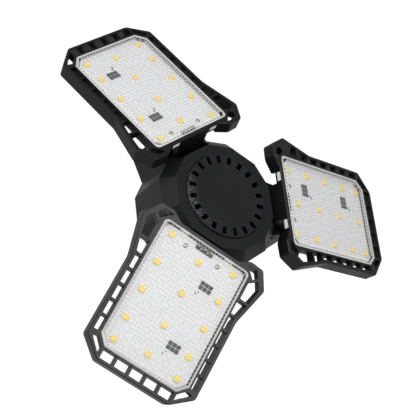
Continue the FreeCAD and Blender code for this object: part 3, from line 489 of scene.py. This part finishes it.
class LampSizes(bpy.types.PropertyGroup):
    """Sizes and colours of the lamp's fine pieces."""

    prism_pitch: bpy.props.FloatProperty(
        name="Prism pitch", description="Distance between two prisms of the lens", default=2.8 * MM,
        unit="LENGTH", subtype="DISTANCE",
    )
    prism_deep: bpy.props.FloatProperty(
        name="Prism height", description="Height of a prism over its valleys", default=0.4 * MM,
        unit="LENGTH", subtype="DISTANCE",
    )
    lens_frame: bpy.props.FloatProperty(
        name="Lens border", description="Width of the lens's smooth border", default=1.5 * MM,
        unit="LENGTH", subtype="DISTANCE",
    )
    lens_step: bpy.props.FloatProperty(
        name="Lens step", description="Width of the step between the lens's prisms and its border",
        default=0.5 * MM, unit="LENGTH", subtype="DISTANCE",
    )
    # The radius of the painted yellow glow over each LED.
    led_reach: bpy.props.FloatProperty(
        name="LED's reach", description="How far from an LED's middle the lens spreads its yellow",
        default=3.3 * MM, unit="LENGTH", subtype="DISTANCE",
    )
    lens_cut_long: bpy.props.FloatProperty(
        name="Lens corner along", description="Cut of the lens's outer corners, along the leaf",
        default=7.1 * MM, unit="LENGTH", subtype="DISTANCE",
    )
    lens_cut_wide: bpy.props.FloatProperty(
        name="Lens corner across", description="Cut of the lens's outer corners, across the leaf",
        default=6.9 * MM, unit="LENGTH", subtype="DISTANCE",
    )
    lens_round: bpy.props.FloatProperty(
        name="Lens corner radius", description="Radius of the lens's inner corners", default=3.5 * MM,
        unit="LENGTH", subtype="DISTANCE",
    )
    lens_thick: bpy.props.FloatProperty(
        name="Lens thickness", description="Thickness of the lens", default=1.6 * MM,
        unit="LENGTH", subtype="DISTANCE",
    )
    thread_pitch: bpy.props.FloatProperty(
        name="Thread pitch", description="Distance between two crests of the cap's thread",
        default=3.629 * MM, unit="LENGTH", subtype="DISTANCE",
    )
    thread_deep: bpy.props.FloatProperty(
        name="Thread depth", description="Radius of a crest less the radius of a valley", default=0.9 * MM,
        unit="LENGTH", subtype="DISTANCE",
    )
    hub_colour: bpy.props.StringProperty(
        name="Hub colour", description="Colour of the hub, as an sRGB hex code", default="#0f1011",
    )
    disc_colour: bpy.props.StringProperty(
        name="Disc colour", description="Colour of the front disc, as an sRGB hex code", default="#0d0e12",
    )
    leaf_colour: bpy.props.StringProperty(
        name="Leaf colour", description="Colour of the leaves' rims, as an sRGB hex code", default="#0f0f10",
    )
    camera_lens: bpy.props.FloatProperty(
        name="Camera lens", description="Focal length of the camera for a 36 mm sensor", default=100.25,
        unit="CAMERA",
    )
    backdrop_light: bpy.props.FloatProperty(
        name="Backdrop", description="Brightness of the backdrop behind the lamp", default=1.05, min=0.0,
    )
    world_light: bpy.props.FloatProperty(
        name="World light", description="Strength of the light from above and from the sides",
        default=0.5, min=0.0,
    )
    under_light: bpy.props.FloatProperty(
        name="Light from below", description="Strength of the light from below", default=0.22, min=0.0,
    )
    side_light: bpy.props.FloatProperty(
        name="Side light", description="Power of the softbox to the side", default=8.0, min=0.0, unit="POWER",
    )
    key_light: bpy.props.FloatProperty(
        name="Key light", description="Power of the softbox under the lamp",
        default=7.5, min=0.0, unit="POWER",
    )


# ---------------------------------------------------------------- pieces


class LAMP_OT_lenses(bpy.types.Operator):
    """Clear prismatic lens of each leaf, with its two snap tabs"""

    bl_idname = "lamp.lenses"
    bl_label = "Prismatic lenses"

    # The lens's finishes, in the order of their slots.
    PARTS = ("", " border", " edge", " back", " glow", " tab", " rim")
    PRISMS, BORDER, EDGE, BACK, GLOW, TAB, RIM = range(len(PARTS))

    PLATE_LONG = 100.0 * MM
    LENSLET_TALL = 0.25 * MM
    CUT_DIST = 1e-7

    # Of the snap tabs: distance from the leaf's middle line, half width, reach under the plate and into it.
    TAB_ASIDE = 19.4 * MM
    TAB_HALF = 3.6 * MM
    TAB_UNDER = 1.6 * MM
    TAB_SUNK = 0.2 * MM
    TAB_BEVEL = 0.3 * MM

    def execute(self, context):
        sizes = context.scene.lamp_sizes
        for leaf in LEAVES:
            place = leaf_place(leaf)
            low, high = extent(f"{leaf}_lens", place)
            plate_low = Vector((high.x - self.PLATE_LONG, low.y, high.z - sizes.lens_thick))
            bm = bmesh.new()
            leds = [(start + end) / 2 for start, end in islands(f"{leaf}_leds", place)]
            self.add_plate(bm, plate_low, high, sizes, leds)
            for side in (-1, 1):
                self.add_tab(bm, low, plate_low, side * self.TAB_ASIDE)
            bmesh.ops.recalc_face_normals(bm, faces=bm.faces)
            finishes = [material(f"lens{part}") for part in self.PARTS]
            finish_piece(bm, f"{leaf}_prismatic_lens", finishes, leaf, [f"{leaf}_lens"], place)
        return {"FINISHED"}

    def add_tab(self, bm, low, plate_low, across):
        """A bevelled block from the lens's inner end to under its plate, and a little way into it."""
        tab_low = Vector((low.x, across - self.TAB_HALF, low.z))
        tab_high = Vector((plate_low.x + self.TAB_UNDER, across + self.TAB_HALF, plate_low.z))
        tab = add_block(bm, tab_low, tab_high + Vector((0, 0, self.TAB_SUNK)))
        edges = {edge for face in faces_of(tab) for edge in face.edges}
        for face in faces_of(tab):
            face.material_index = self.TAB
        bmesh.ops.bevel(bm, geom=list(edges), offset=self.TAB_BEVEL, offset_type="OFFSET", segments=2,
                        profile=0.5, affect="EDGES", material=-1)

    def add_plate(self, bm, low, high, sizes, leds):
        """Prisms from a poked grid, then a smooth border, the sides and the back.

        The outer facets of the outer prisms get a dark finish, a painted reflection of the dark wall round the board.
        A low round lenslet on the back over each LED carries a painted yellow glow, as the prisms would spread it.
        """
        centre = Vector(((low.x + high.x) / 2, (low.y + high.y) / 2, 0))
        half = Vector(((high.x - low.x) / 2, (high.y - low.y) / 2, 0))
        inner = half - Vector((sizes.lens_frame, sizes.lens_frame, 0))
        floor = high.z - sizes.prism_deep
        counts = [round(2 * inner[i] / sizes.prism_pitch) for i in range(2)]
        shape = Matrix.Translation((centre.x, centre.y, floor)) @ Matrix.Diagonal((inner.x, inner.y, 1, 1))
        bmesh.ops.create_grid(bm, x_segments=counts[0], y_segments=counts[1], size=1.0, matrix=shape)
        layer = bm.loops.layers.uv.new("prisms")
        peaks = bmesh.ops.poke(bm, faces=bm.faces[:], offset=0.0, center_mode="MEAN")["verts"]
        bmesh.ops.translate(bm, verts=peaks, vec=(0, 0, sizes.prism_deep))
        scale = Vector((inner.x / half.x, inner.y / half.y, 1))
        for side in (-1, 1):
            corner = centre + Vector((inner.x - sizes.lens_cut_long * scale.x, side * inner.y, 0))
            normal = Vector((sizes.lens_cut_wide, side * sizes.lens_cut_long, 0)).normalized()
            cut(bm, corner, normal, self.CUT_DIST)
            radius = sizes.lens_round * scale.x
            pivot = centre + Vector((radius - inner.x, side * (inner.y - radius), 0))
            for degrees in (15, 30, 45, 60, 75):
                turn = math.radians(degrees)
                normal = Vector((-math.cos(turn), side * math.sin(turn), 0))
                cut(bm, pivot + normal * radius, normal, self.CUT_DIST)
        origin = centre - inner
        pitch = [2 * inner[i] / counts[i] for i in range(2)]
        prisms = {}
        for face in bm.faces:
            spot = face.calc_center_median() - origin
            prisms.setdefault((spot.x // pitch[0], spot.y // pitch[1]), []).append(face)
            for loop in face.loops:
                offset = loop.vert.co - origin
                loop[layer].uv = (offset.x / pitch[0], offset.y / pitch[1])
        for facets in prisms.values():
            outer = [face for face in facets if any(edge.is_boundary for edge in face.edges)]
            for face in facets if outer else ():
                # EDGE facets get the painted reflection of the dark wall; RIM facets are the other outer prisms.
                face.material_index = self.EDGE if face in outer else self.RIM
        rim = [edge for edge in bm.edges if edge.is_boundary]
        step = inner + Vector((sizes.lens_step, sizes.lens_step, 0))
        for height, start, end in ((high.z, inner, step), (high.z, step, half), (low.z, half, half)):
            made = bmesh.ops.extrude_edge_only(bm, edges=rim)["geom"]
            verts = only(made, bmesh.types.BMVert)
            rim = [edge for edge in only(made, bmesh.types.BMEdge) if edge.is_boundary]
            grown = (end.x / start.x, end.y / start.y, 1)
            bmesh.ops.scale(bm, verts=verts, vec=grown, space=Matrix.Translation(-centre))
            for vertex in verts:
                vertex.co.z = height
            for face in only(made, bmesh.types.BMFace):
                face.material_index = self.BORDER
        for face in bmesh.ops.contextual_create(bm, geom=rim)["faces"]:
            face.material_index = self.BACK
        spread = Matrix.Diagonal((sizes.led_reach, sizes.led_reach, self.LENSLET_TALL, 1))
        for led in leds:
            base = Vector((led.x, led.y, low.z))
            shape = Matrix.Translation(base) @ spread
            for face in faces_of(add_ball(bm, shape, 16, 6)):
                face.material_index = self.GLOW
                for loop in face.loops:
                    loop[layer].uv = ((loop.vert.co - base).xy.length / sizes.led_reach, 0)


class LAMP_OT_leds(bpy.types.Operator):
    """LED packages of each leaf: a white body with a well of yellow phosphor"""

    bl_idname = "lamp.leds"
    bl_label = "LED packages"

    # A wall round a well, and in it a low dome with sloping sides.
    WALL = 0.2 * MM
    WELL_DEEP = 0.12 * MM
    DOME_SLOPE = 0.3 * MM
    DOME_TALL = 0.14 * MM

    def execute(self, context):
        for leaf in LEAVES:
            place = leaf_place(leaf)
            bm = bmesh.new()
            for low, high in islands(f"{leaf}_leds", place):
                verts = add_block(bm, low, high)
                top = max(faces_of(verts), key=lambda face: face.calc_center_median().z)
                bmesh.ops.inset_individual(bm, faces=[top], thickness=self.WALL, depth=-self.WELL_DEEP)
                top.material_index = 1
                bmesh.ops.inset_individual(bm, faces=[top], thickness=self.DOME_SLOPE, depth=self.DOME_TALL)
                for face in bm.faces:
                    if face.material_index == 1:
                        face.smooth = True
            finish_piece(bm, f"{leaf}_led_packages", [material("package"), material("phosphor")], leaf,
                         [f"{leaf}_leds"], place)
        return {"FINISHED"}


class LAMP_OT_board_parts(bpy.types.Operator):
    """Soldered lead ends, the dots on the rectifier strip and the chip resistors of each leaf"""

    bl_idname = "lamp.board_parts"
    bl_label = "Solder and small parts"

    # Of the rectifier's dots: their number, zigzag, lower and upper radius, height and middle over the strip.
    DOTS = 5
    DOT_ASIDE = 0.7 * MM
    DOT_FOOT = 0.62 * MM
    DOT_TOP = 0.5 * MM
    DOT_TALL = 0.3 * MM
    DOT_LIFT = 0.05 * MM

    # Of the resistors: how far outward and across from the corner of their driver group, and two sizes.
    SPOTS = ((2.4 * MM, 1.2 * MM), (4.3 * MM, -0.2 * MM))
    BODY = Vector((0.8, 1.6, 0.45)) * MM
    CAP = Vector((0.85, 0.35, 0.5)) * MM

    def execute(self, context):
        for leaf in LEAVES:
            place = leaf_place(leaf)
            self.add_solder(leaf, place)
            self.add_dots(leaf, place)
            self.add_resistors(leaf, place)
        return {"FINISHED"}

    @staticmethod
    def add_solder(leaf, place):
        """The upper halves of two flattened balls."""
        bm = bmesh.new()
        for low, high in islands(f"{leaf}_solder_pads", place):
            centre = (low + high) / 2
            half = ((high.x - low.x) / 2, (high.y - low.y) / 2, high.z - low.z, 1)
            shape = Matrix.Translation((centre.x, centre.y, low.z)) @ Matrix.Diagonal(half)
            made = add_ball(bm, shape, 20, 12)
            edges = {edge for vertex in made for edge in vertex.link_edges}
            bmesh.ops.bisect_plane(bm, geom=[*made, *edges, *faces_of(made)], plane_co=(0, 0, low.z),
                                   plane_no=(0, 0, -1), clear_outer=True)
        bmesh.ops.holes_fill(bm, edges=[edge for edge in bm.edges if edge.is_boundary], sides=0)
        bmesh.ops.recalc_face_normals(bm, faces=bm.faces)
        finish_piece(bm, f"{leaf}_solder", [material("solder")], leaf, [f"{leaf}_solder_pads"],
                     place, smooth=40)

    def add_dots(self, leaf, place):
        """A zigzag of low white dots along the rectifier strip."""
        low, high = extent(f"{leaf}_rectifier", place)
        bm = bmesh.new()
        for count in range(self.DOTS):
            across = low.y + (high.y - low.y) * (count + 0.5) / self.DOTS
            along = (low.x + high.x) / 2 + (self.DOT_ASIDE if count % 2 else -self.DOT_ASIDE)
            shape = Matrix.Translation((along, across, high.z + self.DOT_LIFT))
            bmesh.ops.create_cone(bm, cap_ends=True, segments=12, radius1=self.DOT_FOOT, radius2=self.DOT_TOP,
                                  depth=self.DOT_TALL, matrix=shape)
        finish_piece(bm, f"{leaf}_rectifier_dots", [material("package")], leaf, (), place)

    def add_resistors(self, leaf, place):
        """Two chip resistors beside each of the two driver groups: black bodies with tinned ends."""
        chips = islands(f"{leaf}_driver_chips", place)
        halfway = sum((low.x + high.x) / 2 for low, high in chips) / len(chips)
        bm = bmesh.new()
        for side in (-1, 1):
            group = [(low, high) for low, high in chips if ((low.x + high.x) / 2 - halfway) * side > 0]
            edge = max(high.x for low, high in group)
            across = min(low.y for low, high in group)
            for outward, aside in self.SPOTS:
                base = Vector((edge + outward, across + aside, group[0][0].z))
                foot = base - Vector((self.BODY.x / 2, self.BODY.y / 2, 0))
                add_block(bm, foot, foot + self.BODY)
                for end in (-1, 1):
                    middle = base + Vector((0, end * (self.BODY.y - self.CAP.y) / 2, 0))
                    foot = middle - Vector((self.CAP.x / 2, self.CAP.y / 2, 0))
                    for face in faces_of(add_block(bm, foot, foot + self.CAP)):
                        face.material_index = 1
        finishes = [material("epoxy"), material("tin")]
        finish_piece(bm, f"{leaf}_resistors", finishes, leaf, (), place)


class LAMP_OT_screw_cap(bpy.types.Operator):
    """Rolled thread of the screw cap and its soldered end contact"""

    bl_idname = "lamp.screw_cap"
    bl_label = "Screw cap"

    # Crests of the profile, its points for each, and the sizes of what closes the shell above and below.
    TURNS = 7
    STEPS = 12
    LIP = 0.3 * MM
    LIP_IN = 0.2 * MM
    SHOULDER = 3.0 * MM
    SHOULDER_IN = 0.75 * MM
    INSULATOR = 9.6 * MM
    WALL = 0.35 * MM

    def execute(self, context):
        """A screw of crests and valleys, cut level at both ends, with a lip below and a shoulder above."""
        sizes = context.scene.lamp_sizes
        low, high = lamp_box("cap_shell")
        crest = (high.x - low.x) / 2
        bm = bmesh.new()
        profile = []
        for i in range(self.TURNS * self.STEPS + 1):
            wave = (1 + math.cos(math.tau * i / self.STEPS)) / 2
            radius = crest - sizes.thread_deep * (1 - wave)
            profile.append((radius, -sizes.thread_pitch + i * sizes.thread_pitch / self.STEPS))
        add_turned(bm, profile, steps=64, pitch=sizes.thread_pitch)
        clean(bm, 0.005 * MM)
        bottom = low.z + self.LIP
        top = high.z - self.SHOULDER
        cut(bm, (0, 0, bottom), (0, 0, -1))
        cut(bm, (0, 0, top), (0, 0, 1))
        self.close_end(bm, bottom, low.z, crest - self.LIP_IN)
        start = top
        bends = ((0.2, crest - self.SHOULDER_IN), (0.55, (crest + self.INSULATOR) / 2), (1.0, self.INSULATOR))
        for lift, radius in bends:
            end = top + self.SHOULDER * lift
            self.close_end(bm, start, end, radius)
            start = end
        clean(bm, 0.001 * MM)
        piece = finish_piece(bm, "cap_thread", [material("nickel")], "hub", ["cap_shell"],
                             smooth=50)
        wall = piece.modifiers.new("wall", "SOLIDIFY")
        wall.thickness = self.WALL
        wall.offset = -1
        self.add_contact()
        return {"FINISHED"}

    @staticmethod
    def close_end(bm, height, new_height, radius):
        """Carries the ring of open edges at one height on to a round ring at another."""
        rim = [edge for edge in bm.edges if edge.is_boundary
               and all(abs(vertex.co.z - height) < 0.02 * MM for vertex in edge.verts)]
        made = bmesh.ops.extrude_edge_only(bm, edges=rim)["geom"]
        for vertex in only(made, bmesh.types.BMVert):
            flat = Vector((vertex.co.x, vertex.co.y, 0)).normalized() * radius
            vertex.co = (flat.x, flat.y, new_height)

    @staticmethod
    def add_contact():
        """A flat button with a dome of solder on it, which starts a little way in from the button's side."""
        low, high = lamp_box("cap_contact")
        radius = (high.x - low.x) / 2
        tall = high.z - low.z
        dome = 0.92 * radius
        bm = bmesh.new()
        profile = [(ON_AXIS, low.z), (radius, low.z), (radius, low.z + 0.3 * tall)]
        for degrees in range(0, 90, 15):
            turn = math.radians(degrees)
            profile.append((dome * math.cos(turn), low.z + tall * (0.35 + 0.65 * math.sin(turn))))
        profile.append((ON_AXIS, high.z))
        add_turned(bm, profile)
        clean(bm)
        finish_piece(bm, "cap_solder_contact", [material("tin")], "hub", ["cap_contact"],
                     smooth=40)


class LAMP_OT_cover_screws(bpy.types.Operator):
    """Pan-head screws of the rear cover, with their cross recesses"""

    bl_idname = "lamp.cover_screws"
    bl_label = "Cover screws"

    HEAD = 2.9 * MM
    HEAD_TALL = 2.0 * MM
    SHANK = 1.45 * MM
    TIP = 1.1 * MM
    TIP_LONG = 1.2 * MM

    # Of the cross recess: half its width, half its length, its depth, and how far down its cuts reach.
    CROSS_HALF = 0.45 * MM
    CROSS_REACH = 1.7 * MM
    CROSS_DEEP = 0.9 * MM
    CROSS_FLOOR = 1.2 * MM

    def execute(self, context):
        """The lower half of a head is a cylinder and its upper half a dome."""
        bm = bmesh.new()
        for low, high in islands("rear_screws", Matrix()):
            centre = (low + high) / 2
            start = high.z - self.HEAD_TALL
            profile = [(ON_AXIS, low.z), (self.TIP, low.z), (self.SHANK, low.z + self.TIP_LONG),
                       (self.SHANK, start), (self.HEAD, start), (self.HEAD, start + 0.5 * self.HEAD_TALL)]
            for degrees in (20, 40, 60, 75):
                turn = math.radians(degrees)
                height = start + self.HEAD_TALL * (0.5 + 0.5 * math.sin(turn))
                profile.append((self.HEAD * math.cos(turn), height))
            profile.append((ON_AXIS, high.z))
            part = bmesh.new()
            add_turned(part, profile, (centre.x, centre.y, 0), steps=32)
            clean(part)
            self.cut_cross(part, centre, high.z)
            kept = bpy.data.meshes.new("screw")
            part.to_mesh(kept)
            part.free()
            bm.from_mesh(kept)
            bpy.data.meshes.remove(kept)
        finish_piece(bm, "cover_screws", [material("bolt"), material("epoxy")], "hub", ["rear_screws"],
                     smooth=35)
        return {"FINISHED"}

    def cut_cross(self, bm, centre, top):
        """Two crossed blades pressed into the head: the faces between four cuts go down."""
        floor = top - self.CROSS_FLOOR
        for axis in (0, 1):
            for side in (-self.CROSS_HALF, self.CROSS_HALF):
                normal = Vector((0, 0, 0))
                normal[axis] = 1
                near = [face for face in bm.faces if face.calc_center_median().z > floor]
                edges = {edge for face in near for edge in face.edges}
                verts = {vertex for face in near for vertex in face.verts}
                bmesh.ops.bisect_plane(
                    bm, geom=[*near, *edges, *verts], plane_co=centre + normal * side, plane_no=normal)
        # A little less than the blades' half width leaves out the slivers that lie on the cuts.
        blades = []
        for face in bm.faces:
            spot = face.calc_center_median()
            narrow, wide = sorted((abs(spot.x - centre.x), abs(spot.y - centre.y)))
            inside = narrow < 0.98 * self.CROSS_HALF and wide < self.CROSS_REACH
            if inside and spot.z > floor and face.normal.z > 0.3:
                blades.append(face)
        made = bmesh.ops.extrude_face_region(bm, geom=blades)["geom"]
        bmesh.ops.delete(bm, geom=blades, context="FACES_ONLY")
        bmesh.ops.translate(bm, verts=only(made, bmesh.types.BMVert), vec=(0, 0, -self.CROSS_DEEP))
        for face in only(made, bmesh.types.BMFace):
            face.material_index = 1
        bmesh.ops.recalc_face_normals(bm, faces=bm.faces)


class LAMP_OT_finishes(bpy.types.Operator):
    """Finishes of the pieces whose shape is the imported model's own"""

    bl_idname = "lamp.finishes"
    bl_label = "Finishes"

    FINISH = {
        "hub_housing": "hub", "rear_cover": "hub", "front_disc": "disc", "junction_board": "laminate",
        "board_plugs": "plug", "cap_insulator": "insulator", "live_lead": "red_sleeve",
        "neutral_lead": "white_sleeve",
    }
    ENDINGS = {
        "_housing": "leaf", "_board": "board", "_driver_chips": "epoxy", "_rectifier": "epoxy",
        "_bolt": "bolt", "_washers": "washer",
    }

    def execute(self, context):
        for name, shown in FRAME["nodes"].items():
            key = self.FINISH.get(name)
            if key is None:
                key = next((found for ending, found in self.ENDINGS.items() if name.endswith(ending)), None)
            if key is None:
                continue
            shown.data.materials.clear()
            shown.data.materials.append(material(key))
        return {"FINISHED"}


class LAMP_OT_studio(bpy.types.Operator):
    """Pale floor, even white surroundings, two softboxes and the camera"""

    bl_idname = "lamp.studio"
    bl_label = "Studio and camera"

    FLOOR_HALF = 60.0
    FLOOR_PLACE = (0, 0, -1.5)
    LAMP_MIDDLE = (0, 0, -0.06)
    KEY_PLACE = (-0.36, -0.14, -1.3)
    KEY_SIZE = 0.8
    SIDE_PLACE = (0.75, -0.1, -1.0)
    SIDE_SIZE = 0.7

    # The camera's right is only roughly square to its forward direction: add_camera() makes it exact.
    CAMERA_PLACE = (0.2231, -0.5038, -0.7232)
    CAMERA_RIGHT = (-0.7966, 0.3265, -0.5087)
    CAMERA_FORWARD = (-0.2559, 0.5804, 0.7731)

    def execute(self, context):
        sizes = context.scene.lamp_sizes
        bm = bmesh.new()
        down = Matrix.Translation(self.FLOOR_PLACE)
        bmesh.ops.create_grid(bm, x_segments=1, y_segments=1, size=self.FLOOR_HALF, matrix=down)
        mesh = bpy.data.meshes.new("studio_floor")
        bm.to_mesh(mesh)
        bm.free()
        mesh.materials.append(material("floor"))
        floor = bpy.data.objects.new("studio_floor", mesh)
        context.scene.collection.objects.link(floor)
        floor.visible_diffuse = False
        floor.visible_glossy = False
        context.scene.view_settings.view_transform = "Standard"
        self.add_world(context, sizes)
        self.add_softbox(context, "key_softbox", Vector(self.KEY_PLACE), self.KEY_SIZE, sizes.key_light)
        self.add_softbox(context, "side_softbox", Vector(self.SIDE_PLACE), self.SIDE_SIZE, sizes.side_light)
        self.add_camera(context, sizes.camera_lens)
        return {"FINISHED"}

    @staticmethod
    def add_world(context, sizes):
        """A white backdrop. What lights the lamp is dimmer, most of all from below."""
        world = bpy.data.worlds.new("white_studio")
        world.use_nodes = True
        tree = world.node_tree
        tree.nodes.clear()
        direction = node(tree, "ShaderNodeTexCoord").outputs["Generated"]
        height = node(tree, "ShaderNodeSeparateXYZ", inputs={0: direction}).outputs[2]
        glow = node(tree, "ShaderNodeMapRange", {"interpolation_type": "SMOOTHSTEP"}, {
            "Value": height, "From Min": -0.65, "From Max": -0.1,
            "To Min": sizes.under_light, "To Max": sizes.world_light,
        })
        seen = node(tree, "ShaderNodeLightPath").outputs["Is Camera Ray"]
        strength = node(tree, "ShaderNodeMix", {"data_type": "FLOAT"}, {
            0: seen, 2: glow.outputs[0], 3: sizes.backdrop_light,
        })
        light = node(tree, "ShaderNodeBackground", inputs={
            "Color": linear("#ffffff"), "Strength": strength.outputs[0],
        })
        node(tree, "ShaderNodeOutputWorld", inputs={"Surface": light.outputs[0]})
        context.scene.world = world

    def add_softbox(self, context, name, place, size, power):
        light = bpy.data.lights.new(name, "AREA")
        light.size = size
        light.energy = power
        box = bpy.data.objects.new(name, light)
        aim = Vector(self.LAMP_MIDDLE) - place
        box.visible_camera = False
        box.matrix_world = Matrix.Translation(place) @ aim.to_track_quat("-Z", "Y").to_matrix().to_4x4()
        context.scene.collection.objects.link(box)

    def add_camera(self, context, lens):
        camera = bpy.data.cameras.new("camera")
        camera.sensor_width = 36.0
        camera.lens = lens
        shown = bpy.data.objects.new("camera", camera)
        right = Vector(self.CAMERA_RIGHT).normalized()
        forward = Vector(self.CAMERA_FORWARD).normalized()
        up = right.cross(forward).normalized()
        right = forward.cross(up).normalized()
        turn = Matrix((right, up, -forward)).transposed().to_4x4()
        shown.matrix_world = Matrix.Translation(self.CAMERA_PLACE) @ turn
        context.scene.collection.objects.link(shown)
        context.scene.camera = shown


# ---------------------------------------------------------------- panel and registration


class LAMP_PT_panel(bpy.types.Panel):
    """Lists the lamp's operators and sizes"""

    bl_label = "Garage light"
    bl_idname = "LAMP_PT_panel"
    bl_space_type = "VIEW_3D"
    bl_region_type = "UI"
    bl_category = "Lamp"

    def draw(self, context):
        for operator in OPERATORS:
            self.layout.operator(operator.bl_idname)
        sizes = context.scene.lamp_sizes
        for name in LampSizes.__annotations__:
            self.layout.prop(sizes, name)


OPERATORS = (
    LAMP_OT_lenses, LAMP_OT_leds, LAMP_OT_board_parts, LAMP_OT_screw_cap, LAMP_OT_cover_screws,
    LAMP_OT_finishes, LAMP_OT_studio,
)
CLASSES = (LampSizes,) + OPERATORS + (LAMP_PT_panel,)


def register():
    for item in CLASSES:
        bpy.utils.register_class(item)
    bpy.types.Scene.lamp_sizes = bpy.props.PointerProperty(type=LampSizes)


def unregister():
    del bpy.types.Scene.lamp_sizes
    for item in reversed(CLASSES):
        bpy.utils.unregister_class(item)


def main():
    register()
    for operator in OPERATORS:
        group, name = operator.bl_idname.split(".")
        getattr(getattr(bpy.ops, group), name)()


if __name__ == "__main__":
    main()
